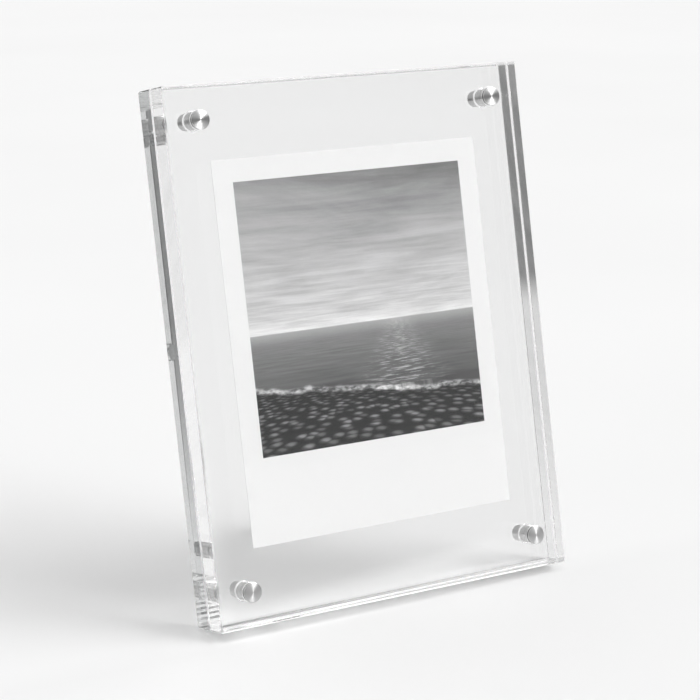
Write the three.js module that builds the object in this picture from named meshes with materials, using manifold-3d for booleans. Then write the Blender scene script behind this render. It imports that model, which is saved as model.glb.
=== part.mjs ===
// Desk photo frame. Two clear acrylic blocks hold a print between them, clamped by a turned steel
// post near each corner, and the pair leans back on a rod that screws into the rear block.
// Millimetres, +Z up, front towards -Y. The origin is the middle of the flat that the frame stands on.

import * as THREE from "three";
import { mergeVertices } from "three/addons/utils/BufferGeometryUtils.js";
import Module from "manifold-3d";

// Acrylic blocks
const FRAME_WIDTH = 136;
const FRAME_HEIGHT = 176;
const FRONT_THICKNESS = 8.6;
const REAR_THICKNESS = 9;
const EDGE_CHAMFER = 0.45;
const LEAN = THREE.MathUtils.degToRad(12);
const LAND_WIDTH = 2;

// Print
const PRINT_WIDTH = 101.6;
const PRINT_HEIGHT = 127;
const PRINT_THICKNESS = 0.25;
const PRINT_CLEARANCE = 0.08;

// Corner posts
const POST_INSET_X = 12;
const POST_INSET_Z = 11.5;
const HEAD_DIAMETER = 6.5;
const HEAD_THICKNESS = 0.6;
const HEAD_BEVEL = 0.15;
const WASHER_THICKNESS = 0.5;
const WASHER_MARGIN = 0.1;
const SLEEVE_DIAMETER = 5.8;
const BARREL_DIAMETER = 5.5;
const BARREL_COVER = 2;
const BARREL_FLOOR = 1.2;
const SCREW_DIAMETER = 2.9;
const SCREW_CLEARANCE = 0.15;
const SCREW_TIP_GAP = 0.6;
const TURNED_BEVEL = 0.3;

// Support leg
const SUPPORT_HEIGHT = 88;
const FOOT_REACH = 78;
const SOCKET_DIAMETER = 10;
const SOCKET_COLLAR = 8.5;
const SPIGOT_DIAMETER = 6;
const SPIGOT_COVER = 3;
const LEG_DIAMETER = 7;
const LEG_BEVEL = 0.5;
const LEG_THREAD_DIAMETER = 4.8;
const LEG_THREAD_LENGTH = 7.5;
const LEG_WASHER_THICKNESS = 0.5;
const TIP_WALL = 1.5;
const TIP_OVERLAP = 8;
const TIP_FLOOR = 1.5;
const TIP_ROUND = 1;

// Fits
const BOND_LINE = 0.08;
const SEAT_GAP = 0.05;
const END_SETBACK = 0.1;
const ROUND_SEGMENTS = 32;

// Depths through the frame, in its leaning frame: 0 is the rear face and the front is negative.
const REAR_FACE = 0;
const REAR_PARTING = REAR_FACE - REAR_THICKNESS;
const PRINT_BACK = REAR_PARTING - PRINT_CLEARANCE;
const FRONT_PARTING = PRINT_BACK - PRINT_THICKNESS - PRINT_CLEARANCE;
const FRONT_FACE = FRONT_PARTING - FRONT_THICKNESS;
const WASHER_BACK = FRONT_FACE - SEAT_GAP;
const HEAD_UNDERSIDE = WASHER_BACK - WASHER_THICKNESS - SEAT_GAP;
const HEAD_FRONT = HEAD_UNDERSIDE - HEAD_THICKNESS;
const BARREL_HOLE_END = REAR_FACE - BARREL_COVER;
const BARREL_BACK = BARREL_HOLE_END - SEAT_GAP;
const BARREL_BORE_END = BARREL_BACK - BARREL_FLOOR;
const SCREW_TIP = BARREL_BORE_END - SCREW_TIP_GAP;
const SPIGOT_HOLE_END = REAR_PARTING + SPIGOT_COVER;

const ACRYLIC = { color: 0xf4f8f8, roughness: 0.03, metalness: 0, transparent: true, opacity: 0.3 };
const STEEL = { color: 0xb9b9b8, roughness: 0.28, metalness: 1 };
const PAPER = { color: 0xf5f5f3, roughness: 0.6, metalness: 0 };
const RUBBER = { color: 0x232323, roughness: 0.8, metalness: 0 };

const wasm = await Module();
wasm.setup();

// A closed geometry as a solid that can be cut and joined.
function toSolid(geometry) {
  const bare = geometry.clone();
  bare.deleteAttribute("normal");
  bare.deleteAttribute("uv");
  const merged = mergeVertices(bare, 1e-4);
  const vertProperties = new Float32Array(merged.attributes.position.array);
  const triVerts = new Uint32Array(merged.index.array);
  return new wasm.Manifold(new wasm.Mesh({ numProp: 3, vertProperties, triVerts }));
}

function toGeometry(solid) {
  const mesh = solid.getMesh();
  const geometry = new THREE.BufferGeometry();
  geometry.setAttribute("position", new THREE.BufferAttribute(mesh.vertProperties, 3));
  geometry.setIndex(new THREE.BufferAttribute(mesh.triVerts, 1));
  return geometry;
}

// A turned piece about the Y axis: pairs of radius and depth, up the outside and down any bore.
function turned(profile) {
  const points = profile.map(([radius, depth]) => new THREE.Vector2(radius, depth));
  return new THREE.LatheGeometry(points, ROUND_SEGMENTS);
}

function plainCylinder(radius, from, to) {
  return turned([[0, from], [radius, from], [radius, to], [0, to]]);
}

// A ring with square edges, such as a washer.
function ring(boreRadius, radius, from, to) {
  return turned([[boreRadius, from], [radius, from], [radius, to], [boreRadius, to], [boreRadius, from]]);
}

function addMesh(group, name, geometry, look) {
  const mesh = new THREE.Mesh(geometry, new THREE.MeshStandardMaterial(look));
  mesh.name = name;
  group.add(mesh);
  return mesh;
}

// The four posts, with left and right as seen from the front.
const postX = FRAME_WIDTH / 2 - POST_INSET_X;
const POSTS = [
  { corner: "top_left", x: -postX, z: FRAME_HEIGHT - POST_INSET_Z },
  { corner: "top_right", x: postX, z: FRAME_HEIGHT - POST_INSET_Z },
  { corner: "bottom_left", x: -postX, z: POST_INSET_Z },
  { corner: "bottom_right", x: postX, z: POST_INSET_Z },
];

// A block's front outline, with its four upright corners chamfered like its other edges.
function blockOutline() {
  const x = FRAME_WIDTH / 2;
  const c = EDGE_CHAMFER;
  const outline = new THREE.Shape();
  outline.moveTo(-x + c, 0).lineTo(x - c, 0).lineTo(x, c).lineTo(x, FRAME_HEIGHT - c);
  outline.lineTo(x - c, FRAME_HEIGHT).lineTo(-x + c, FRAME_HEIGHT).lineTo(-x, FRAME_HEIGHT - c);
  outline.lineTo(-x, c).closePath();
  return outline;
}

// The outline as a block whose back is at the given depth, with chamfered edges and hole rims.
function extrudeBlock(outline, thickness, back) {
  const geometry = new THREE.ExtrudeGeometry(outline, {
    depth: thickness - 2 * EDGE_CHAMFER,
    curveSegments: ROUND_SEGMENTS,
    bevelThickness: EDGE_CHAMFER,
    bevelSize: EDGE_CHAMFER,
    bevelOffset: -EDGE_CHAMFER,
    bevelSegments: 1,
  });
  geometry.translate(0, 0, EDGE_CHAMFER);
  geometry.rotateX(Math.PI / 2);
  geometry.translate(0, back, 0);
  return geometry;
}

function frontBlock() {
  const outline = blockOutline();
  for (const post of POSTS) {
    const hole = new THREE.Path();
    hole.absarc(post.x, post.z, SLEEVE_DIAMETER / 2 + BOND_LINE, 0, 2 * Math.PI, true);
    outline.holes.push(hole);
  }
  return extrudeBlock(outline, FRONT_THICKNESS, FRONT_PARTING);
}

// A blind hole's drill from a face, with a countersunk mouth; depth grows away from the mouth.
function drill(radius, mouth, end) {
  const c = Math.sign(end - mouth) * EDGE_CHAMFER;
  const wide = radius + EDGE_CHAMFER;
  const profile = [[0, mouth - c], [wide, mouth - c], [wide, mouth], [radius, mouth + c], [radius, end], [0, end]];
  return turned(c > 0 ? profile : profile.reverse());
}

function rearBlock(floorInLean) {
  let block = toSolid(extrudeBlock(blockOutline(), REAR_THICKNESS, REAR_FACE));
  for (const post of POSTS) {
    const hole = drill(BARREL_DIAMETER / 2 + BOND_LINE, REAR_PARTING, BARREL_HOLE_END);
    block = block.subtract(toSolid(hole.translate(post.x, 0, post.z)));
  }
  const spigotHole = drill(SPIGOT_DIAMETER / 2 + BOND_LINE, REAR_FACE, SPIGOT_HOLE_END);
  block = block.subtract(toSolid(spigotHole.translate(0, 0, SUPPORT_HEIGHT)));
  return toGeometry(block.subtract(toSolid(floorInLean)));
}

function photoPrint() {
  const sheet = new THREE.BoxGeometry(PRINT_WIDTH, PRINT_THICKNESS, PRINT_HEIGHT);
  return sheet.translate(0, PRINT_BACK - PRINT_THICKNESS / 2, FRAME_HEIGHT / 2);
}

// A flat head with a bevelled rim on a plain shank; the thread's crests are the shank's diameter.
function capScrew() {
  const head = HEAD_DIAMETER / 2;
  const shank = SCREW_DIAMETER / 2;
  return turned([
    [0, HEAD_FRONT],
    [head - HEAD_BEVEL, HEAD_FRONT],
    [head, HEAD_FRONT + HEAD_BEVEL],
    [head, HEAD_UNDERSIDE],
    [shank, HEAD_UNDERSIDE],
    [shank, SCREW_TIP - TURNED_BEVEL],
    [shank - TURNED_BEVEL, SCREW_TIP],
    [0, SCREW_TIP],
  ]);
}

function screwWasher() {
  const bore = SCREW_DIAMETER / 2 + SCREW_CLEARANCE;
  return ring(bore, HEAD_DIAMETER / 2 - WASHER_MARGIN, WASHER_BACK - WASHER_THICKNESS, WASHER_BACK);
}

// The tube bonded through the front block, which takes the screw's clamping load.
function frontSleeve() {
  const bore = SCREW_DIAMETER / 2 + SCREW_CLEARANCE;
  const outer = SLEEVE_DIAMETER / 2;
  const front = FRONT_FACE + END_SETBACK;
  const back = FRONT_PARTING - END_SETBACK;
  return turned([
    [bore, front],
    [outer - TURNED_BEVEL, front],
    [outer, front + TURNED_BEVEL],
    [outer, back - TURNED_BEVEL],
    [outer - TURNED_BEVEL, back],
    [bore, back],
    [bore, front],
  ]);
}

// The blind threaded barrel bonded into the rear block.
function barrelInsert() {
  const bore = SCREW_DIAMETER / 2 + SCREW_CLEARANCE;
  const outer = BARREL_DIAMETER / 2;
  const front = REAR_PARTING + END_SETBACK;
  return turned([
    [0, BARREL_BORE_END],
    [bore, BARREL_BORE_END],
    [bore, front + TURNED_BEVEL],
    [bore + TURNED_BEVEL, front],
    [outer - TURNED_BEVEL, front],
    [outer, front + TURNED_BEVEL],
    [outer, BARREL_BACK - TURNED_BEVEL],
    [outer - TURNED_BEVEL, BARREL_BACK],
    [0, BARREL_BACK],
  ]);
}

// The blocks lean back about the flat ground along the rear bottom edge.
const landRise = LAND_WIDTH * Math.sin(LEAN) * Math.cos(LEAN);
const landMiddle = (landRise / Math.tan(LEAN) - landRise * Math.tan(LEAN)) / 2;
const leaning = new THREE.Group();
leaning.rotation.x = -LEAN;
leaning.position.set(0, landMiddle, -landRise);
leaning.updateMatrix();

// Everything under the table top that a piece could reach, seen from a placed group.
function floorSeenFrom(group) {
  const slab = new THREE.BoxGeometry(2 * FRAME_WIDTH, 2 * FRAME_HEIGHT, FRAME_HEIGHT);
  slab.translate(0, 0, -FRAME_HEIGHT / 2);
  return slab.applyMatrix4(group.matrix.clone().invert());
}

// The leg's group starts where its axis meets the rear face, and its +Y runs down to the foot.
const legStart = new THREE.Vector3(0, REAR_FACE, SUPPORT_HEIGHT).applyMatrix4(leaning.matrix);
const legRun = new THREE.Vector3(0, FOOT_REACH, 0).sub(legStart);
const legSlope = Math.atan2(legRun.z, legRun.y);
const leg = new THREE.Group();
leg.rotation.x = legSlope;
leg.position.copy(legStart);
leg.updateMatrix();

// Distances along the leg from the rear face.
const faceTurn = -LEAN - legSlope;
const socketEnd = SOCKET_COLLAR + (SOCKET_DIAMETER / 2) * Math.tan(faceTurn);
const threadStart = socketEnd - LEG_THREAD_LENGTH;
const legWasherStart = socketEnd + SEAT_GAP;
const legShoulder = legWasherStart + LEG_WASHER_THICKNESS + SEAT_GAP;
const tipRadius = LEG_DIAMETER / 2 + BOND_LINE + TIP_WALL;
const tipSlant = tipRadius / Math.tan(-legSlope);
const tipEnd = legRun.length() + tipSlant;
const legEnd = legRun.length() - tipSlant - TIP_FLOOR;

// The angled boss on the rear face: a slanted cylinder trimmed to the face, its square spigot, and a bore.
function legSocket() {
  const outer = SOCKET_DIAMETER / 2;
  const bore = LEG_THREAD_DIAMETER / 2 + SCREW_CLEARANCE;
  const boss = toSolid(turned([
    [0, -SOCKET_DIAMETER],
    [outer, -SOCKET_DIAMETER],
    [outer, socketEnd - LEG_BEVEL],
    [outer - LEG_BEVEL, socketEnd],
    [0, socketEnd],
  ]));
  const behindFace = new THREE.BoxGeometry(4 * SOCKET_DIAMETER, 4 * SOCKET_DIAMETER, 4 * SOCKET_DIAMETER);
  behindFace.translate(0, SEAT_GAP - 2 * SOCKET_DIAMETER, 0);
  const spigot = plainCylinder(SPIGOT_DIAMETER / 2, SPIGOT_HOLE_END + SEAT_GAP, SPIGOT_DIAMETER / 2);
  const trimmed = boss.subtract(toSolid(behindFace.rotateX(faceTurn)));
  const joined = trimmed.add(toSolid(spigot.rotateX(faceTurn)));
  return toGeometry(joined.subtract(toSolid(plainCylinder(bore, threadStart - SCREW_TIP_GAP, 2 * socketEnd))));
}

function legWasher() {
  const bore = LEG_THREAD_DIAMETER / 2 + SCREW_CLEARANCE;
  const outer = LEG_DIAMETER / 2 + WASHER_MARGIN;
  return ring(bore, outer, legWasherStart, legWasherStart + LEG_WASHER_THICKNESS);
}

function supportLeg() {
  const thread = LEG_THREAD_DIAMETER / 2;
  const rod = LEG_DIAMETER / 2;
  return turned([
    [0, threadStart],
    [thread - TURNED_BEVEL, threadStart],
    [thread, threadStart + TURNED_BEVEL],
    [thread, legShoulder],
    [rod - LEG_BEVEL, legShoulder],
    [rod, legShoulder + LEG_BEVEL],
    [rod, legEnd - LEG_BEVEL],
    [rod - LEG_BEVEL, legEnd],
    [0, legEnd],
  ]);
}

// The rubber ferrule over the leg's end, cut level where it stands on the table.
function legTip() {
  const bore = LEG_DIAMETER / 2 + BOND_LINE;
  const start = legEnd - TIP_OVERLAP;
  const cup = turned([
    [0, legEnd + SEAT_GAP],
    [bore, legEnd + SEAT_GAP],
    [bore, start],
    [tipRadius - TIP_ROUND, start],
    [tipRadius, start + TIP_ROUND],
    [tipRadius, tipEnd],
    [0, tipEnd],
  ]);
  return toGeometry(toSolid(cup).subtract(toSolid(floorSeenFrom(leg))));
}

addMesh(leaning, "front_block", frontBlock(), ACRYLIC);
addMesh(leaning, "rear_block", rearBlock(floorSeenFrom(leaning)), ACRYLIC);
addMesh(leaning, "photo_print", photoPrint(), PAPER);
for (const { corner, x, z } of POSTS) {
  addMesh(leaning, `cap_screw_${corner}`, capScrew(), STEEL).position.set(x, 0, z);
  addMesh(leaning, `screw_washer_${corner}`, screwWasher(), RUBBER).position.set(x, 0, z);
  addMesh(leaning, `front_sleeve_${corner}`, frontSleeve(), STEEL).position.set(x, 0, z);
  addMesh(leaning, `barrel_insert_${corner}`, barrelInsert(), STEEL).position.set(x, 0, z);
}
addMesh(leg, "leg_socket", legSocket(), STEEL);
addMesh(leg, "leg_washer", legWasher(), RUBBER);
addMesh(leg, "support_leg", supportLeg(), STEEL);
addMesh(leg, "leg_tip", legTip(), RUBBER);

const frame = new THREE.Group();
frame.add(leaning, leg);

export default frame;
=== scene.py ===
import math

import bmesh
import bpy
from mathutils import Matrix, Vector

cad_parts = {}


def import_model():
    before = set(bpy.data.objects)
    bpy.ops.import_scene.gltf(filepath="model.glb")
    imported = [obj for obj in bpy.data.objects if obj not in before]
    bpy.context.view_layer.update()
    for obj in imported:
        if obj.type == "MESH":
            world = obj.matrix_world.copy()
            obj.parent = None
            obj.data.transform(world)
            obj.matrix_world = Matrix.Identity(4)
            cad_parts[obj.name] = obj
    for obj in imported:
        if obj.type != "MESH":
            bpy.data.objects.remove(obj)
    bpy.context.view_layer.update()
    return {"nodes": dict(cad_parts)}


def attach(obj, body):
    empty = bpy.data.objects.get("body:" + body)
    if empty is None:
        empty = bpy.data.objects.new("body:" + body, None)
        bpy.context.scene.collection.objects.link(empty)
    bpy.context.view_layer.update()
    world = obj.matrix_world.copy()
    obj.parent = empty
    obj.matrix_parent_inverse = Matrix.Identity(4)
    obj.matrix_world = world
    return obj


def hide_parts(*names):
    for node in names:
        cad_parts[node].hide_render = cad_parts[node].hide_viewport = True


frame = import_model()

MM = 0.001

# Sizes shared with the solids, in millimetres.
LEAN = math.radians(12)
LAND_WIDTH = 2
FRAME_WIDTH, FRAME_HEIGHT = 136, 176
FRONT_THICKNESS, REAR_THICKNESS = 8.6, 9
PRINT_WIDTH, PRINT_HEIGHT, PRINT_THICKNESS, PRINT_CLEARANCE = 101.6, 127, 0.25, 0.08
POST_INSET_X, POST_INSET_Z = 12, 11.5
HEAD_RADIUS, HEAD_THICKNESS, HEAD_BEVEL = 3.25, 0.6, 0.15
WASHER_RADIUS, WASHER_THICKNESS = 3.15, 0.5
SHANK_RADIUS, BORE_RADIUS, SHANK_TIP_GAP, SHANK_PITCH = 1.45, 1.6, 0.6, 0.5
BARREL_COVER, BARREL_FLOOR, TURNED_BEVEL = 2, 1.2, 0.3
SUPPORT_HEIGHT, FOOT_REACH = 88, 78
SOCKET_RADIUS, SOCKET_COLLAR, SPIGOT_RADIUS, SPIGOT_COVER = 5, 8.5, 3, 3
LEG_RADIUS, LEG_BEVEL, STUD_RADIUS, STUD_LENGTH, STUD_PITCH = 3.5, 0.5, 2.4, 7.5, 0.8
LEG_WASHER_RADIUS, LEG_WASHER_THICKNESS = 3.6, 0.5
TIP_WALL, TIP_OVERLAP, TIP_FLOOR, TIP_ROUND = 1.5, 8, 1.5, 1
BOND_LINE, SEAT_GAP, END_SETBACK = 0.08, 0.05, 0.1

# Radii of the sleeves and barrels as drawn, 0.1 more than the solids', so that no air shows.
SLEEVE_RADIUS, BARREL_RADIUS = 3.0, 2.85

# The picture on the print.
IMAGE_WIDTH, IMAGE_HEIGHT, TOP_BORDER = 87.2, 90.6, 7.7

# Small detail of the drawn pieces.
PRINT_CORNER, PRINT_CUT = 0.15, 0.02
HEAD_LIP, HEAD_RINGS = 0.06, (1.6, 0.5)
SHANK_LEAD, SHANK_THREAD_DEPTH = 0.35, 0.27
STUD_LEAD, STUD_THREAD_DEPTH, STUD_CLEARANCE = 0.4, 0.43, 0.15
WASHER_ROUND, LEG_WASHER_ROUND = 0.08, 0.12
SOCKET_ROOT, SOCKET_GROOVE = -12, 2.7
GRIP_START, GRIP_END, GRIP_TEETH, GRIP_DEPTH = 3, 11, 48, 0.2
TIP_MOUTH, TIP_GROOVES = 0.2, (2.6, 4.4)

# Sides of the round pieces, and angles in degrees above which an edge is drawn sharp.
SMALL_ROUND, TURNED_ROUND, KNURLED_ROUND = 64, 96, 192
SOFT_ANGLE, THREAD_ANGLE, TURNED_ANGLE = 35, 50, 30

LAND_RISE = LAND_WIDTH * math.sin(LEAN) * math.cos(LEAN)
LAND_MIDDLE = (LAND_RISE / math.tan(LEAN) - LAND_RISE * math.tan(LEAN)) / 2
LAND_SHIFT = Matrix.Translation((0, LAND_MIDDLE * MM, -LAND_RISE * MM))
LEANING = LAND_SHIFT @ Matrix.Rotation(-LEAN, 4, "X")

PRINT_FRONT = -REAR_THICKNESS - PRINT_CLEARANCE - PRINT_THICKNESS
FRONT_FACE = PRINT_FRONT - PRINT_CLEARANCE - FRONT_THICKNESS

# Depths behind the front face.
REAR_PARTING = -FRONT_FACE - REAR_THICKNESS
BARREL_BACK = -FRONT_FACE - BARREL_COVER - SEAT_GAP
BORE_END = BARREL_BACK - BARREL_FLOOR
SHANK_END = BORE_END - SHANK_TIP_GAP

CORNERS = {
    f"{row}_{side}": (sign * (FRAME_WIDTH / 2 - POST_INSET_X), height)
    for row, height in (("top", FRAME_HEIGHT - POST_INSET_Z), ("bottom", POST_INSET_Z))
    for side, sign in (("left", -1), ("right", 1))
}


def post_place(corner):
    """A post's frame: +Z out of the front face, with its origin on that face."""
    x, z = CORNERS[corner]
    turn = Matrix.Rotation(math.pi / 2, 4, "X")
    return LEANING @ Matrix.Translation((x * MM, FRONT_FACE * MM, z * MM)) @ turn


# The leg's frame: +Z down along the rod, with its origin on the rear face.
LEG_START = LEANING @ Vector((0, 0, SUPPORT_HEIGHT * MM))
LEG_RUN = Vector((0, FOOT_REACH * MM, 0)) - LEG_START
LEG_SLOPE = math.atan2(LEG_RUN.z, LEG_RUN.y)
LEG_PLACE = Matrix.Translation(LEG_START) @ Matrix.Rotation(LEG_SLOPE - math.pi / 2, 4, "X")
REAR_NORMAL = (LEANING.to_3x3() @ Vector((0, 1, 0))).normalized()

FACE_TURN = -LEAN - LEG_SLOPE
SOCKET_END = SOCKET_COLLAR + SOCKET_RADIUS * math.tan(FACE_TURN)
STUD_START = SOCKET_END - STUD_LENGTH
LEG_WASHER_START = SOCKET_END + SEAT_GAP
LEG_SHOULDER = LEG_WASHER_START + LEG_WASHER_THICKNESS + SEAT_GAP
TIP_RADIUS = LEG_RADIUS + BOND_LINE + TIP_WALL
TIP_SLANT = TIP_RADIUS / math.tan(-LEG_SLOPE)
TIP_END = LEG_RUN.length / MM + TIP_SLANT
LEG_END = LEG_RUN.length / MM - TIP_SLANT - TIP_FLOOR


# Mesh making. Profiles are (radius, height) pairs in millimetres about the piece's own Z axis.

def new_piece(name, bm, place, body, material, smooth=SOFT_ANGLE):
    """An object made from a finished mesh, shaded smooth up to an angle, that rides on a body."""
    mesh = bpy.data.meshes.new(name)
    bmesh.ops.recalc_face_normals(bm, faces=bm.faces)
    bm.to_mesh(mesh)
    bm.free()
    for polygon in mesh.polygons:
        polygon.use_smooth = True
    mesh.set_sharp_from_angle(angle=math.radians(smooth))
    mesh.materials.append(material)
    piece = bpy.data.objects.new(name, mesh)
    bpy.context.scene.collection.objects.link(piece)
    piece.matrix_world = place
    bpy.context.view_layer.update()
    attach(piece, body)
    return piece


def lathe(bm, rows, segments, radius_at=None):
    """Rings of vertices joined into a skin.

    A row of zero radius is one point, and a list that ends as it starts makes a tube.
    """
    closed = rows[0] == rows[-1] and rows[0][0] > 0
    rings = []
    for radius, height in rows[:-1] if closed else rows:
        if radius == 0:
            rings.append([bm.verts.new((0, 0, height * MM))])
            continue
        ring = []
        for k in range(segments):
            a = 2 * math.pi * k / segments
            r = radius_at(radius, height, a) if radius_at else radius
            ring.append(bm.verts.new((r * math.cos(a) * MM, r * math.sin(a) * MM, height * MM)))
        rings.append(ring)
    pairs = list(zip(rings, rings[1:]))
    if closed:
        pairs.append((rings[-1], rings[0]))
    for low, high in pairs:
        for k in range(segments):
            n = (k + 1) % segments
            if len(low) == 1:
                bm.faces.new((low[0], high[n], high[k]))
            elif len(high) == 1:
                bm.faces.new((low[k], low[n], high[0]))
            else:
                bm.faces.new((low[k], low[n], high[n], high[k]))


def fillet(centre_radius, centre_height, size, start, end, steps=4):
    """Points of a rounded corner, from start to end in degrees, on a circle about its centre."""
    points = []
    for k in range(steps + 1):
        a = math.radians(start + (end - start) * k / steps)
        points.append((centre_radius + size * math.cos(a), centre_height + size * math.sin(a)))
    return points


# A thread's profile: how steep its flanks are, and how broad its crests.
FLANK, CREST = 2.6, 0.15


def threaded(pitch, depth, low, high):
    """The radius of a right-hand thread between two heights, run out to plain at the ends."""

    def radius_at(radius, height, angle):
        if not low < height < high:
            return radius
        run_out = min(1, (height - low) / pitch, (high - height) / pitch)
        phase = (height / pitch - angle / (2 * math.pi)) % 1
        return radius - depth * run_out * min(1, max(0, abs(phase - 0.5) * FLANK - CREST))

    return radius_at


def thread_rows(radius, low, high, pitch, per_turn=8):
    """Rows close enough together to show each turn of a thread."""
    steps = int((high - low) / pitch * per_turn)
    return [(radius, low + (high - low) * k / steps) for k in range(steps + 1)]


def cut_plane(bm, place, point, normal):
    """Removes what lies beyond a plane of the whole frame, and closes the cut."""
    back = place.inverted()
    geometry = bm.verts[:] + bm.edges[:] + bm.faces[:]
    bmesh.ops.bisect_plane(bm, geom=geometry, dist=1e-7, plane_co=back @ Vector(point),
                           plane_no=back.to_3x3() @ Vector(normal), clear_outer=True)
    bmesh.ops.holes_fill(bm, edges=[e for e in bm.edges if e.is_boundary])


# Materials.

def new_material(name):
    material = bpy.data.materials.new(name)
    material.use_nodes = True
    nodes = material.node_tree.nodes
    nodes.clear()
    out = nodes.new("ShaderNodeOutputMaterial")
    shader = nodes.new("ShaderNodeBsdfPrincipled")
    material.node_tree.links.new(shader.outputs["BSDF"], out.inputs["Surface"])
    return material, material.node_tree, shader


def output_of(tree):
    return next(n for n in tree.nodes if n.type == "OUTPUT_MATERIAL")


# The range that most of a noise lies in.
NOISE_RANGE = 0.3, 0.7


class Graph:
    """Short calls for adding nodes to the tree of a material or of the world."""

    def __init__(self, tree):
        self.tree = tree

    def node(self, kind, **settings):
        made = self.tree.nodes.new(kind)
        for key, value in settings.items():
            setattr(made, key, value)
        return made

    def put(self, socket, value):
        if isinstance(value, bpy.types.NodeSocket):
            self.tree.links.new(value, socket)
        else:
            socket.default_value = value

    def math(self, operation, a, b=0.0, clamp=False):
        made = self.node("ShaderNodeMath", operation=operation, use_clamp=clamp)
        for socket, value in zip(made.inputs, (a, b)):
            self.put(socket, value)
        return made.outputs[0]

    def add(self, a, b, clamp=False):
        return self.math("ADD", a, b, clamp=clamp)

    def less(self, a, b):
        return self.math("SUBTRACT", a, b)

    def times(self, a, b):
        return self.math("MULTIPLY", a, b)

    def over(self, a, b):
        return self.math("DIVIDE", a, b)

    def size(self, a):
        return self.math("ABSOLUTE", a)

    def remap(self, value, from_low, from_high, to_low=0.0, to_high=1.0, smooth=False):
        made = self.node("ShaderNodeMapRange")
        if smooth:
            made.interpolation_type = "SMOOTHSTEP"
        for socket, v in zip(made.inputs, (value, from_low, from_high, to_low, to_high)):
            self.put(socket, v)
        return made.outputs[0]

    def mix(self, factor, a, b):
        made = self.node("ShaderNodeMix", data_type="FLOAT")
        self.put(made.inputs[0], factor)
        self.put(made.inputs[2], a)
        self.put(made.inputs[3], b)
        return made.outputs[0]

    def noise(self, vector, scale, detail=4.0, roughness=0.5, distortion=0.0):
        made = self.node("ShaderNodeTexNoise", noise_dimensions="3D")
        self.put(made.inputs["Vector"], vector)
        self.put(made.inputs["Scale"], scale)
        self.put(made.inputs["Detail"], detail)
        self.put(made.inputs["Roughness"], roughness)
        self.put(made.inputs["Distortion"], distortion)
        return made.outputs["Fac"]

    def vary(self, noise, low, high):
        """A noise's usual range, spread over two values."""
        return self.remap(noise, *NOISE_RANGE, low, high)

    def cells(self, vector, scale):
        """Distance to the nearest cell's middle, and a number of that cell's own."""
        made = self.node("ShaderNodeTexVoronoi", voronoi_dimensions="2D", feature="F1")
        self.put(made.inputs["Vector"], vector)
        self.put(made.inputs["Scale"], scale)
        return made.outputs["Distance"], self.parts(made.outputs["Color"])[0]

    def place(self):
        """The piece's own coordinates, in metres."""
        return self.node("ShaderNodeTexCoord").outputs["Object"]

    def parts(self, vector):
        made = self.node("ShaderNodeSeparateXYZ")
        self.put(made.inputs[0], vector)
        return made.outputs[0], made.outputs[1], made.outputs[2]

    def join(self, x, y, z):
        made = self.node("ShaderNodeCombineXYZ")
        for socket, value in zip(made.inputs, (x, y, z)):
            self.put(socket, value)
        return made.outputs[0]

    def scale(self, vector, by):
        made = self.node("ShaderNodeMapping")
        self.put(made.inputs["Vector"], vector)
        made.inputs["Scale"].default_value = by
        return made.outputs[0]

    def turn(self, vector, by):
        made = self.node("ShaderNodeMapping")
        self.put(made.inputs["Vector"], vector)
        made.inputs["Rotation"].default_value = by
        return made.outputs[0]

    def dot(self, vector, towards):
        made = self.node("ShaderNodeVectorMath", operation="DOT_PRODUCT")
        self.put(made.inputs[0], vector)
        made.inputs[1].default_value = towards
        return made.outputs["Value"]

    def grey(self, value):
        made = self.node("ShaderNodeCombineColor")
        for socket in made.inputs:
            self.put(socket, value)
        return made.outputs[0]

    def bump(self, height, strength, distance):
        made = self.node("ShaderNodeBump")
        self.put(made.inputs["Height"], height)
        made.inputs["Strength"].default_value = strength
        made.inputs["Distance"].default_value = distance
        return made.outputs[0]


# Acrylic: its index, its polishing lines per metre and their depth, its chamfers' roughness, and
# its tint where it absorbs.
ACRYLIC_INDEX, POLISH_LINES, POLISH_DEPTH, SATIN = 1.49, 1300, 0.0000015, 0.3
TINT = (0.5, 0.52, 0.52, 1)


def acrylic(name, absorption):
    """Polished cast acrylic: faint lines run along the edges, and the narrow chamfers are satin."""
    material, tree, shader = new_material(name)
    g = Graph(tree)
    upright = g.turn(g.place(), (LEAN, 0, 0))
    lines = g.noise(g.scale(upright, (2, POLISH_LINES, 2)), 1, 3, 0.6)
    g.put(shader.inputs["Normal"], g.bump(lines, 1, POLISH_DEPTH))
    facing = g.node("ShaderNodeTexCoord").outputs["Normal"]
    slant = g.size(g.dot(facing, (0, math.cos(LEAN), -math.sin(LEAN))))
    satin = g.times(g.remap(slant, 0.2, 0.3), g.remap(slant, 0.95, 0.9))
    g.put(shader.inputs["Roughness"], g.times(satin, SATIN))
    shader.inputs["Base Color"].default_value = (1, 1, 1, 1)
    shader.inputs["IOR"].default_value = ACRYLIC_INDEX
    shader.inputs["Transmission Weight"].default_value = 1
    if absorption:
        inside = g.node("ShaderNodeVolumeAbsorption")
        inside.inputs["Color"].default_value = TINT
        inside.inputs["Density"].default_value = absorption
        tree.links.new(inside.outputs[0], output_of(tree).inputs["Volume"])
    return material


# Turned steel: the fineness of its grooves, bands and wear, and the grooves' depth in metres.
GROOVES, BANDS, WEAR, GROOVE_DEPTH = 9000, 1800, 350, 0.00002


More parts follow.
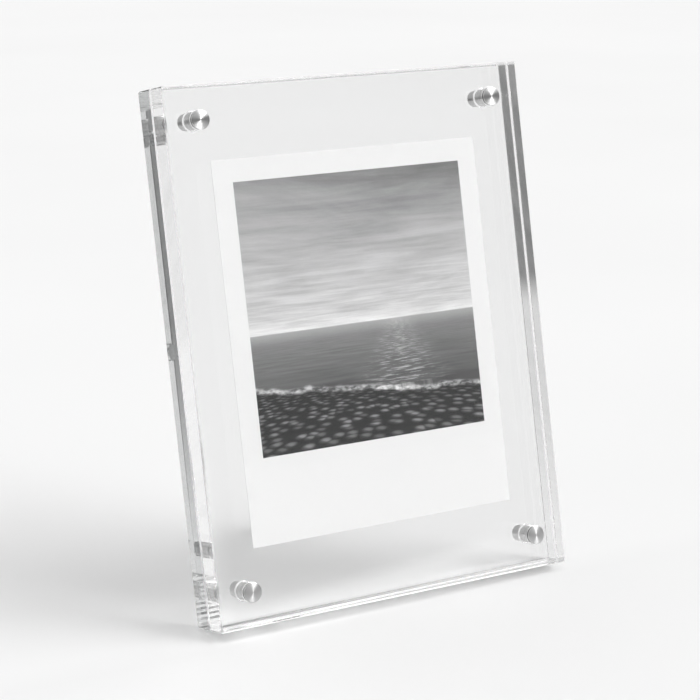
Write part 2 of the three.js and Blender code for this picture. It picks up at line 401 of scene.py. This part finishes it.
def turned_steel(name, tone, low, high, anisotropy):
    """Lathe-turned steel: grooves and broader bands run round the piece's own Z axis."""
    material, tree, shader = new_material(name)
    g = Graph(tree)
    x, y, z = g.parts(g.place())
    radius = g.math("SQRT", g.add(g.times(x, x), g.times(y, y)))
    track = g.join(radius, 0.0, z)
    grooves = g.noise(track, GROOVES, 2, 0.6)
    bands = g.noise(track, BANDS, 2)
    wear = g.noise(g.place(), WEAR, 3)
    finish = g.add(g.times(grooves, 0.6), g.times(bands, 0.4))
    g.put(shader.inputs["Roughness"], g.vary(finish, low, high))
    stain = g.add(g.times(wear, 0.5), g.times(bands, 0.5))
    g.put(shader.inputs["Base Color"], g.grey(g.vary(stain, tone * 0.93, tone * 1.05)))
    shader.inputs["Metallic"].default_value = 1
    shader.inputs["Anisotropic"].default_value = anisotropy
    shader.inputs["Anisotropic Rotation"].default_value = 0.25
    tangent = g.node("ShaderNodeTangent", direction_type="RADIAL", axis="Z")
    g.put(shader.inputs["Tangent"], tangent.outputs[0])
    g.put(shader.inputs["Normal"], g.bump(grooves, 0.25, GROOVE_DEPTH))
    return material


# Rubber: the fineness of its grain and haze, and the grain's depth in metres.
RUBBER_GRAIN, RUBBER_HAZE, RUBBER_DEPTH = 6000, 400, 0.00003


def rubber():
    material, tree, shader = new_material("black_rubber")
    g = Graph(tree)
    grain = g.noise(g.place(), RUBBER_GRAIN, 3)
    haze = g.noise(g.place(), RUBBER_HAZE, 3)
    g.put(shader.inputs["Base Color"], g.grey(g.vary(haze, 0.014, 0.026)))
    g.put(shader.inputs["Roughness"], g.vary(grain, 0.6, 0.8))
    g.put(shader.inputs["Normal"], g.bump(grain, 0.3, RUBBER_DEPTH))
    return material


def seaside(g, u, v):
    """Greys of a quiet bay: streaked cloud, still water with a glitter path, and a pebble beach.

    u runs from -1 to 1 across the picture, and v from 0 to 1 up it.
    """
    horizon, waterline, sun, stones = 0.44, 0.19, 0.3, 9.0

    sky_v = g.remap(v, horizon, 1, 0, 1)
    far = g.over(1.0, g.add(0.2, sky_v))
    sideways = g.add(g.times(u, g.times(far, 0.55)), g.times(sky_v, 0.7))
    drift = g.join(sideways, g.times(far, 1.5), 0.0)
    broad = g.noise(drift, 1.1, 7, 0.56, 0.5)
    streaks = g.noise(g.scale(drift, (0.7, 3.4, 1)), 1.7, 9, 0.62, 0.35)
    cover = g.add(g.times(broad, 0.5), g.times(streaks, 0.5))
    cloud = g.remap(cover, 0.36, 0.66, -0.15, 0.17)
    sky = g.add(g.remap(sky_v, 0, 1, 0.72, 0.3), cloud, clamp=True)

    sea_v = g.remap(v, horizon, waterline, 0, 1)
    reach = g.over(1.0, g.add(0.07, sea_v))
    water = g.join(g.times(u, g.times(reach, 0.7)), g.times(reach, 5.0), 0.0)
    ripple = g.noise(water, 1.6, 6, 0.6, 0.2)
    spark = g.noise(g.scale(water, (3, 2.2, 1)), 2.1, 5, 0.65)
    path_width = g.add(0.16, g.times(sea_v, 0.4))
    path = g.remap(g.size(g.less(u, sun)), 0, path_width, 1, 0, smooth=True)
    sea = g.add(g.remap(sea_v, 0, 1, 0.26, 0.085), g.times(g.less(ripple, 0.5), 0.2))
    sea = g.add(sea, g.times(g.times(path, g.remap(spark, 0.5, 0.66)), 0.55), clamp=True)

    wander = g.noise(g.join(u, 0.0, 0.0), 1.1, 5, 0.5)
    edge = g.add(g.times(g.less(wander, 0.5), 0.16), g.add(waterline, g.times(u, -0.045)))
    land = g.remap(g.less(v, edge), -0.003, 0.003, 1, 0)
    near = g.over(1.0, g.add(0.36, g.remap(v, 0.3, 0, 0, 1)))
    along, away = g.times(u, near), g.times(near, 2.1)
    rim, own = g.cells(g.join(along, away, 0.0), stones)
    rim_lit = g.cells(g.join(g.add(along, 0.015), g.add(away, 0.02), 0.0), stones)[0]
    dome = g.remap(rim, 0.12, 0.52, 1, 0.05, smooth=True)
    lit = g.remap(g.less(rim_lit, rim), -0.1, 0.12, 0.5, 1.5)
    pebbles = g.times(g.times(dome, lit), g.remap(own, 0, 1, 0.05, 0.2))
    wet = g.remap(g.less(edge, v), 0.0, 0.07, 0.35, 1.0, smooth=True)
    lace = g.noise(g.join(g.times(u, 3), g.times(v, 14), 0.0), 3.2, 6, 0.7)
    off_edge = g.size(g.less(v, g.add(edge, 0.006)))
    foam = g.remap(off_edge, 0.002, 0.016, 1, 0, smooth=True)
    foam = g.times(foam, g.remap(lace, 0.42, 0.6, 0, 0.6))

    haze = g.remap(g.size(g.less(v, horizon)), 0, 0.05, 0.16, 0, smooth=True)
    above = g.remap(v, horizon - 0.002, horizon + 0.002)
    open_view = g.add(g.mix(above, sea, sky), haze, clamp=True)
    return g.add(g.mix(land, open_view, g.times(pebbles, wet)), foam, clamp=True)


# Paper: the fineness of its grain and mottle, the grain's depth in metres, and its cut edge's tone,
# a darker grey of painted shade along the print's side edges.
PAPER_GRAIN, PAPER_MOTTLE, PAPER_DEPTH, PAPER_CUT_SHADE = 5200, 900, 0.00001, 0.8


def print_paper():
    """A white-bordered print in greys; the picture fills a window on the front of the sheet."""
    material, tree, shader = new_material("print_paper")
    g = Graph(tree)
    x, depth, z = g.parts(g.scale(g.place(), (1 / MM, 1 / MM, 1 / MM)))
    image_top = PRINT_HEIGHT / 2 - TOP_BORDER
    u = g.over(x, IMAGE_WIDTH / 2)
    v = g.remap(z, image_top - IMAGE_HEIGHT, image_top, 0, 1)
    inside_u = g.math("LESS_THAN", g.size(u), 1)
    off_middle = g.size(g.less(z, image_top - IMAGE_HEIGHT / 2))
    inside_v = g.math("LESS_THAN", off_middle, IMAGE_HEIGHT / 2)
    window = g.times(g.times(inside_u, inside_v), g.math("LESS_THAN", depth, 0))
    grain = g.noise(g.place(), PAPER_GRAIN, 2, 0.7)
    picture = g.times(seaside(g, u, v), g.vary(grain, 0.93, 1.05))
    paper = g.vary(g.noise(g.place(), PAPER_MOTTLE, 4), 0.9, 0.92)
    # The side edges are painted a darker grey, a painted shade line along the print's sides.
    cut_edge = g.math("GREATER_THAN", g.size(x), PRINT_WIDTH / 2 - PRINT_CUT)
    tone = g.mix(cut_edge, g.mix(window, paper, picture), PAPER_CUT_SHADE)
    g.put(shader.inputs["Base Color"], g.grey(tone))
    g.put(shader.inputs["Roughness"], g.vary(grain, 0.42, 0.5))
    g.put(shader.inputs["Normal"], g.bump(grain, 0.04, PAPER_DEPTH))
    return material


FRONT_ACRYLIC = acrylic("clear_acrylic", absorption=0)
REAR_ACRYLIC = acrylic("rear_acrylic", absorption=3.6)
HEAD_STEEL = turned_steel("spun_steel", tone=0.68, low=0.26, high=0.32, anisotropy=0.95)
POST_STEEL = turned_steel("post_steel", tone=0.66, low=0.24, high=0.34, anisotropy=0.7)
ROD_STEEL = turned_steel("ground_steel", tone=0.6, low=0.24, high=0.36, anisotropy=0.6)
RUBBER = rubber()
PAPER = print_paper()

for node, material in (("front_block", FRONT_ACRYLIC), ("rear_block", REAR_ACRYLIC)):
    mesh = frame["nodes"][node].data
    mesh.materials.clear()
    mesh.materials.append(material)


# Pieces.

def photo_print():
    """A flat sheet with slightly rounded corners."""
    bm = bmesh.new()
    bmesh.ops.create_cube(bm, size=1)
    sheet = (PRINT_WIDTH * MM, PRINT_THICKNESS * MM, PRINT_HEIGHT * MM)
    bmesh.ops.scale(bm, verts=bm.verts, vec=sheet)
    corners = [e for e in bm.edges if abs((e.verts[0].co - e.verts[1].co).y) > 1e-9]
    bmesh.ops.bevel(bm, geom=corners, offset=PRINT_CORNER * MM, segments=2, affect="EDGES",
                    profile=0.5)
    middle = (0, (PRINT_FRONT + PRINT_THICKNESS / 2) * MM, FRAME_HEIGHT / 2 * MM)
    place = LEANING @ Matrix.Translation(middle)
    piece = new_piece("print_sheet", bm, place, "print", PAPER)
    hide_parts("photo_print")


def cap_screw(corner):
    """A flat spun head with a rounded rim, and a shank threaded where it holds in the barrel."""
    under = 2 * SEAT_GAP + WASHER_THICKNESS
    top = under + HEAD_THICKNESS
    thread_low, thread_high = -SHANK_END + SHANK_LEAD, -REAR_PARTING
    rows = [(0, -SHANK_END), (SHANK_RADIUS - SHANK_LEAD, -SHANK_END)]
    rows += thread_rows(SHANK_RADIUS, thread_low, thread_high, SHANK_PITCH)
    rows += [(SHANK_RADIUS, under), (HEAD_RADIUS - HEAD_LIP, under)]
    rows += fillet(HEAD_RADIUS - HEAD_LIP, under + HEAD_LIP, HEAD_LIP, -90, 0, 2)[1:]
    rows += fillet(HEAD_RADIUS - HEAD_BEVEL, top - HEAD_BEVEL, HEAD_BEVEL, 0, 90, 5)
    rows += [(radius, top) for radius in (*HEAD_RINGS, 0)]
    bm = bmesh.new()
    lathe(bm, rows, SMALL_ROUND, threaded(SHANK_PITCH, SHANK_THREAD_DEPTH, thread_low, thread_high))
    piece = new_piece(f"spun_screw_{corner}", bm, post_place(corner), f"screw_{corner}",
                      HEAD_STEEL, THREAD_ANGLE)
    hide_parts(f"cap_screw_{corner}")


def ring_rows(bore, outer, low, high, r):
    """A flat ring with rounded edges."""
    rows = [(bore, low + r), (bore + r, low)]
    rows += fillet(outer - r, low + r, r, -90, 0, 3)
    rows += fillet(outer - r, high - r, r, 0, 90, 3)
    return rows + [(bore + r, high), (bore, high - r), (bore, low + r)]


def ring_groove(radius, at, half, flat, depth):
    """A groove round a height; half its width is given at the mouth and at the flat bottom."""
    bottom = radius - depth
    return [(radius, at - half), (bottom, at - flat), (bottom, at + flat), (radius, at + half)]


def screw_washer(corner):
    low, high = SEAT_GAP, SEAT_GAP + WASHER_THICKNESS
    bm = bmesh.new()
    lathe(bm, ring_rows(BORE_RADIUS, WASHER_RADIUS, low, high, WASHER_ROUND), SMALL_ROUND)
    piece = new_piece(f"dark_washer_{corner}", bm, post_place(corner), f"washer_{corner}",
                      RUBBER)
    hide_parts(f"screw_washer_{corner}")


def front_sleeve(corner):
    """A plain tube, bevelled outside at both ends."""
    low, high = -(FRONT_THICKNESS - END_SETBACK), -END_SETBACK
    outer, bore, c = SLEEVE_RADIUS, BORE_RADIUS, TURNED_BEVEL
    rows = [(bore, low), (outer - c, low), (outer, low + c), (outer, high - c), (outer - c, high),
            (bore, high), (bore, low)]
    bm = bmesh.new()
    lathe(bm, rows, TURNED_ROUND)
    piece = new_piece(f"turned_sleeve_{corner}", bm, post_place(corner), "front_assembly",
                      POST_STEEL, TURNED_ANGLE)
    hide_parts(f"front_sleeve_{corner}")


def barrel_insert(corner):
    """A bevelled barrel, closed at the back, with a blind bore for the shank."""
    low, high = -BARREL_BACK, -(REAR_PARTING + END_SETBACK)
    outer, bore, c = BARREL_RADIUS, BORE_RADIUS, TURNED_BEVEL
    rows = [(0, low), (outer - c, low), (outer, low + c), (outer, high - c), (outer - c, high),
            (bore + c, high), (bore, high - c), (bore, -BORE_END), (0, -BORE_END)]
    bm = bmesh.new()
    lathe(bm, rows, TURNED_ROUND)
    piece = new_piece(f"turned_barrel_{corner}", bm, post_place(corner), "rear_assembly",
                      POST_STEEL, TURNED_ANGLE)
    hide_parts(f"barrel_insert_{corner}")


def leg_socket():
    """A slanted boss trimmed to the rear face, bored for the stud, with a spigot into the block."""
    outer, bore, c = SOCKET_RADIUS, STUD_RADIUS + STUD_CLEARANCE, TURNED_BEVEL
    bore_end = STUD_START - SHANK_TIP_GAP
    rows = [(0, SOCKET_ROOT), (outer, SOCKET_ROOT)]
    rows += ring_groove(outer, SOCKET_END - SOCKET_GROOVE, half=0.4, flat=0.2, depth=0.25)
    rows += fillet(outer - LEG_BEVEL, SOCKET_END - LEG_BEVEL, LEG_BEVEL, 0, 90, 5)
    rows += [(bore + c, SOCKET_END), (bore, SOCKET_END - c), (bore, bore_end), (0, bore_end)]
    bm = bmesh.new()
    lathe(bm, rows, TURNED_ROUND)
    face = LEG_START + REAR_NORMAL * SEAT_GAP * MM
    cut_plane(bm, LEG_PLACE, face, -REAR_NORMAL)
    spigot = bmesh.new()
    side, tip = SPIGOT_RADIUS, -(REAR_THICKNESS - SPIGOT_COVER) + SEAT_GAP
    rows = [(0, tip), (side - c, tip), (side, tip + c), (side, SEAT_GAP), (0, SEAT_GAP)]
    lathe(spigot, rows, SMALL_ROUND)
    raised = LEANING @ Matrix.Translation((0, 0, SUPPORT_HEIGHT * MM))
    square = raised @ Matrix.Rotation(-math.pi / 2, 4, "X")
    spigot.transform(LEG_PLACE.inverted() @ square)
    shell = bpy.data.meshes.new("spigot")
    spigot.to_mesh(shell)
    spigot.free()
    bm.from_mesh(shell)
    bpy.data.meshes.remove(shell)
    piece = new_piece("turned_socket", bm, LEG_PLACE, "rear_assembly",
                      ROD_STEEL, TURNED_ANGLE)
    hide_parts("leg_socket")


def leg_washer():
    bore = STUD_RADIUS + STUD_CLEARANCE
    low, high = LEG_WASHER_START, LEG_WASHER_START + LEG_WASHER_THICKNESS
    bm = bmesh.new()
    lathe(bm, ring_rows(bore, LEG_WASHER_RADIUS, low, high, LEG_WASHER_ROUND), SMALL_ROUND)
    piece = new_piece("leg_cushion", bm, LEG_PLACE, "leg_collar", RUBBER)
    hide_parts("leg_washer")


def support_leg():
    """A ground rod with a threaded stud, and a band of straight knurling to turn it by."""
    thread_low, thread_high = STUD_START + STUD_LEAD, LEG_SHOULDER - STUD_PITCH
    thread = threaded(STUD_PITCH, STUD_THREAD_DEPTH, thread_low, thread_high)
    grip_low, grip_high = LEG_SHOULDER + GRIP_START, LEG_SHOULDER + GRIP_END

    def radius_at(radius, height, angle):
        if radius == STUD_RADIUS:
            return thread(radius, height, angle)
        if grip_low < height < grip_high and radius == LEG_RADIUS:
            return radius - GRIP_DEPTH * (0.5 - 0.5 * math.cos(GRIP_TEETH * angle))
        return radius

    rows = [(0, STUD_START), (STUD_RADIUS - STUD_LEAD, STUD_START)]
    rows += thread_rows(STUD_RADIUS, thread_low, thread_high, STUD_PITCH)
    rows += [(STUD_RADIUS, LEG_SHOULDER)]
    rows += fillet(LEG_RADIUS - LEG_BEVEL, LEG_SHOULDER + LEG_BEVEL, LEG_BEVEL, -90, 0, 4)
    half, flat, depth, run_in = 0.3, 0.12, 0.22, 0.15
    rows += ring_groove(LEG_RADIUS, grip_low - half, half, flat, depth)
    rows += [(LEG_RADIUS, grip_low + run_in), (LEG_RADIUS, grip_high - run_in)]
    rows += ring_groove(LEG_RADIUS, grip_high + half, half, flat, depth)
    rows += fillet(LEG_RADIUS - LEG_BEVEL, LEG_END - LEG_BEVEL, LEG_BEVEL, 0, 90, 4)
    rows += [(0, LEG_END)]
    bm = bmesh.new()
    lathe(bm, rows, KNURLED_ROUND, radius_at)
    piece = new_piece("ground_rod", bm, LEG_PLACE, "leg",
                      ROD_STEEL, TURNED_ANGLE)
    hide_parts("support_leg")


def leg_tip():
    """A rubber ferrule with two ring grooves, its foot cut level."""
    bore, start = LEG_RADIUS + BOND_LINE, LEG_END - TIP_OVERLAP
    rows = [(0, LEG_END + SEAT_GAP), (bore, LEG_END + SEAT_GAP), (bore, start + TIP_MOUTH),
            (bore + TIP_MOUTH, start)]
    rows += fillet(TIP_RADIUS - TIP_ROUND, start + TIP_ROUND, TIP_ROUND, -90, 0, 6)
    for offset in TIP_GROOVES:
        rows += ring_groove(TIP_RADIUS, start + offset, half=0.35, flat=0.15, depth=0.3)
    rows += [(TIP_RADIUS, TIP_END), (0, TIP_END)]
    bm = bmesh.new()
    lathe(bm, rows, TURNED_ROUND)
    bm.transform(LEG_PLACE)
    level = Matrix.Identity(4)
    cut_plane(bm, level, (0, 0, 0), (0, 0, -1))
    piece = new_piece("rubber_ferrule", bm, level, "leg", RUBBER)
    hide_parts("leg_tip")


photo_print()
for name in CORNERS:
    cap_screw(name)
    screw_washer(name)
    front_sleeve(name)
    barrel_insert(name)
leg_socket()
leg_washer()
support_leg()
leg_tip()


# Stage: a wide pale floor, a soft studio all round, and the photograph's camera.

FLOOR_REACH, FLOOR_TONE, FLOOR_MOTTLE = 8.0, 0.855, 0.01
# How far painted shade darkens the floor's colour in front, where the print throws light, and
# under the front edge, deeper to the left, where the blocks pipe light down; and how far painted
# light lightens it just behind, where light passes.
FRONT_SHADE_PAINTED, FRONT_SHADE_REACH = 0.125, 0.05
PAINTED_CONTACT_RIGHT, PAINTED_CONTACT_LEFT, LIGHT_BEHIND_PAINTED = 0.08, 0.3, 0.14
# The tones the floor glows with where the object mirrors it, a painted reflection, and the
# direction in which it is painted dark as unlit.
MIRRORED_RIGHT, MIRRORED_LEFT, MIRRORED_UNLIT = 0.94, 0.79, 0.27
UNLIT_TOWARDS = (-0.57, 0.82, 0)
STREAKS, STREAK_RANGE = 260.0, (0.38, 0.62)
KEY_TOWARDS = Vector((0.65, -0.34, 0.68)).normalized()
KEY_LEVEL, KEY_TIGHTNESS = 5.4, 23
# The softbox is a disc: the cosines are those of its edge and of where it is full.
SOFTBOX_TOWARDS = Vector((0.56, -0.66, 0.5)).normalized()
SOFTBOX_LEVEL, SOFTBOX_EDGE, SOFTBOX_FULL = 5.8, 0.974, 0.988
SKY_FRONT, SKY_BACK, PALE = 0.78, 0.7, 0.93
# The skyline's tones: in the middle ahead, low down there, to its sides, behind and due left.
SKYLINE, SKYLINE_LOW, SKYLINE_SIDES, SKYLINE_BACK, SKYLINE_LEFT = 0.35, 0.85, 0.1, 0.5, 1.0
SKYLINE_MIDDLE, SKYLINE_FADE, SKYLINE_TOP = 0.46, 0.28, 0.44
# The camera as fitted to the photograph: its lens and picture in pixels, its place, and its aim in
# degrees.
FOCAL_PIXELS, PHOTO_PIXELS, SENSOR_WIDTH = 2188.1, 700, 36
EYE = (-0.369645, -0.604633, 0.263193)
LOOK_DOWN, LOOK_RIGHT = 14.104, 30.718
BOUNCES, MATT_BOUNCES = 64, 6


def ray_kinds(g):
    """Two flags for rays that have met nothing matt.

    The first is 1 straight from the camera or through clear pieces, the second where they mirror.
    """
    path = g.node("ShaderNodeLightPath").outputs
    lit = g.math("LESS_THAN", path["Diffuse Depth"], 0.5)
    mirrored = g.times(lit, g.math("GREATER_THAN", path["Glossy Depth"], 0.5))
    through = g.times(g.times(path["Is Transmission Ray"], lit), g.less(1.0, mirrored))
    return g.math("MAXIMUM", path["Is Camera Ray"], through), mirrored


def uneven_by_bearing(g, x, y):
    """Fine unevenness by bearing in the floor's painted glow, which the polished edges draw out
    into lines.
    """
    bearing = g.over(x, g.math("MAXIMUM", g.size(y), 0.05))
    return g.noise(g.join(g.times(bearing, STREAKS), 0.37, 0.71), 1, 3, 0.6)


def floor():
    """Pale all over, with painted shade darker in front, where the object throws light on it, and
    under the front edge, and painted light just behind.

    Where the object mirrors it, it glows instead, a painted reflection: evenly pale, and painted
    dark as an unlit room far to the left.
    """
    mesh = bpy.data.meshes.new("floor")
    s = FLOOR_REACH
    mesh.from_pydata([(-s, -s, 0), (s, -s, 0), (s, s, 0), (-s, s, 0)], [], [(0, 1, 2, 3)])
    material, tree, shader = new_material("pale_floor")
    g = Graph(tree)
    mottle = g.vary(g.noise(g.place(), 3, 2), FLOOR_TONE - FLOOR_MOTTLE, FLOOR_TONE + FLOOR_MOTTLE)
    x, y = g.parts(g.place())[:2]
    aside = g.size(x)
    across, ahead = g.over(g.add(x, 0.02), 1.25), g.add(y, 0.026)
    spread = g.over(g.add(g.times(across, across), g.times(ahead, ahead)), FRONT_SHADE_REACH ** 2)
    # Painted shade: the floor's colour darkened in front of the object, where the print throws
    # light on it.
    painted_front_shade = g.times(g.over(FRONT_SHADE_PAINTED, g.add(1.0, spread)), g.remap(y, -0.005, -0.02))
    # Painted contact shadow: the floor darkened under the front edge, more to the left, where the
    # blocks pipe light down.
    under = g.times(g.remap(y, -0.0172, -0.0145), g.remap(y, 0.003, -0.002))
    under = g.times(under, g.remap(aside, 0.07, 0.066))
    painted_contact_shadow = g.times(under, g.remap(x, 0.02, -0.04, PAINTED_CONTACT_RIGHT, PAINTED_CONTACT_LEFT))
    # Painted light: the floor's colour lightened just behind the object, where light passes through
    # the blocks.
    slanted = g.less(y, g.times(x, 0.15))
    behind = g.times(g.remap(y, -0.002, 0.003), g.remap(slanted, 0.024, 0.012))
    painted_light_behind = g.times(behind, g.remap(aside, 0.07, 0.05))
    painted_shade_and_light = g.less(g.add(painted_front_shade, painted_contact_shadow), g.times(painted_light_behind, LIGHT_BEHIND_PAINTED))
    g.put(shader.inputs["Base Color"], g.grey(g.over(mottle, g.add(1.0, painted_shade_and_light))))
    shader.inputs["Roughness"].default_value = 0.9
    shader.inputs["Specular IOR Level"].default_value = 0.1
    # Where the object mirrors the floor, it glows in set tones, a painted reflection, with painted
    # darkness as of an unlit room far to the left.
    unlit = g.remap(g.dot(g.place(), UNLIT_TOWARDS), 0.36, 0.46, smooth=True)
    unlit = g.times(unlit, g.remap(x, 0.0, -0.12, smooth=True))
    glow = g.node("ShaderNodeEmission")
    rays = uneven_by_bearing(g, x, y)
    even = g.remap(x, -0.05, 0.05, MIRRORED_LEFT, MIRRORED_RIGHT)
    even = g.times(even, g.remap(rays, *STREAK_RANGE, 0.93, 1.03))
    dark = g.times(g.remap(rays, *STREAK_RANGE, 0.65, 1.4), MIRRORED_UNLIT)
    g.put(glow.inputs["Color"], g.grey(g.mix(unlit, even, dark)))
    both = g.node("ShaderNodeMixShader")
    g.put(both.inputs[0], ray_kinds(g)[1])
    tree.links.new(shader.outputs[0], both.inputs[1])
    tree.links.new(glow.outputs[0], both.inputs[2])
    tree.links.new(both.outputs[0], output_of(tree).inputs["Surface"])
    material.cycles.emission_sampling = "NONE"
    mesh.materials.append(material)
    piece = bpy.data.objects.new("floor", mesh)
    bpy.context.scene.collection.objects.link(piece)


def world():
    """A big soft key from the right, a softbox lower in front, a pale ceiling, and a skyline.

    The skyline is darkest at the front's sides, light low down ahead, and bright due left.
    """
    made = bpy.data.worlds.new("studio")
    made.use_nodes = True
    background = made.node_tree.nodes["Background"]
    g = Graph(made.node_tree)
    direction = g.node("ShaderNodeTexCoord").outputs["Generated"]
    x, y, z = g.parts(direction)
    ceiling = g.remap(y, 0.7, -0.7, SKY_BACK, SKY_FRONT, smooth=True)
    low = g.times(g.remap(z, 0.14, 0.045, smooth=True), g.remap(x, 0.436, 0.425, smooth=True))
    middle = g.mix(low, SKYLINE, SKYLINE_LOW)
    off_middle = g.size(g.less(x, SKYLINE_MIDDLE))
    ahead = g.remap(off_middle, 0.06, 0.26, middle, SKYLINE_SIDES, smooth=True)
    skyline = g.mix(g.remap(y, -0.3, 0.2, smooth=True), ahead, SKYLINE_BACK)
    left = g.remap(x, -0.25, -0.5, smooth=True)
    left = g.times(left, g.remap(g.size(y), 0.65, 0.35, smooth=True))
    skyline = g.mix(left, skyline, SKYLINE_LEFT)
    sky = g.mix(g.remap(z, SKYLINE_FADE, SKYLINE_TOP, smooth=True), skyline, ceiling)
    key = g.math("MAXIMUM", g.dot(direction, KEY_TOWARDS), 0.0)
    key = g.times(g.math("POWER", key, KEY_TIGHTNESS), KEY_LEVEL)
    disc = g.dot(direction, SOFTBOX_TOWARDS)
    softbox = g.remap(disc, SOFTBOX_EDGE, SOFTBOX_FULL, 0, SOFTBOX_LEVEL, smooth=True)
    light = g.add(g.add(sky, key), softbox)
    g.put(background.inputs["Color"], g.grey(g.mix(ray_kinds(g)[0], light, PALE)))
    background.inputs["Strength"].default_value = 1
    bpy.context.scene.world = made


def camera():
    data = bpy.data.cameras.new("camera")
    data.sensor_width = SENSOR_WIDTH
    data.sensor_fit = "HORIZONTAL"
    data.lens = FOCAL_PIXELS / PHOTO_PIXELS * SENSOR_WIDTH
    data.clip_start = 0.01
    data.clip_end = 50
    eye = bpy.data.objects.new("camera", data)
    eye.location = EYE
    eye.rotation_euler = (math.radians(90 - LOOK_DOWN), 0, math.radians(-LOOK_RIGHT))
    bpy.context.scene.collection.objects.link(eye)
    bpy.context.scene.camera = eye


floor()
world()
camera()

scene = bpy.context.scene
scene.view_settings.view_transform = "Standard"
scene.cycles.max_bounces = BOUNCES
scene.cycles.transmission_bounces = BOUNCES
scene.cycles.glossy_bounces = BOUNCES
scene.cycles.diffuse_bounces = MATT_BOUNCES
scene.cycles.sample_clamp_indirect = 0
scene.cycles.blur_glossy = 0
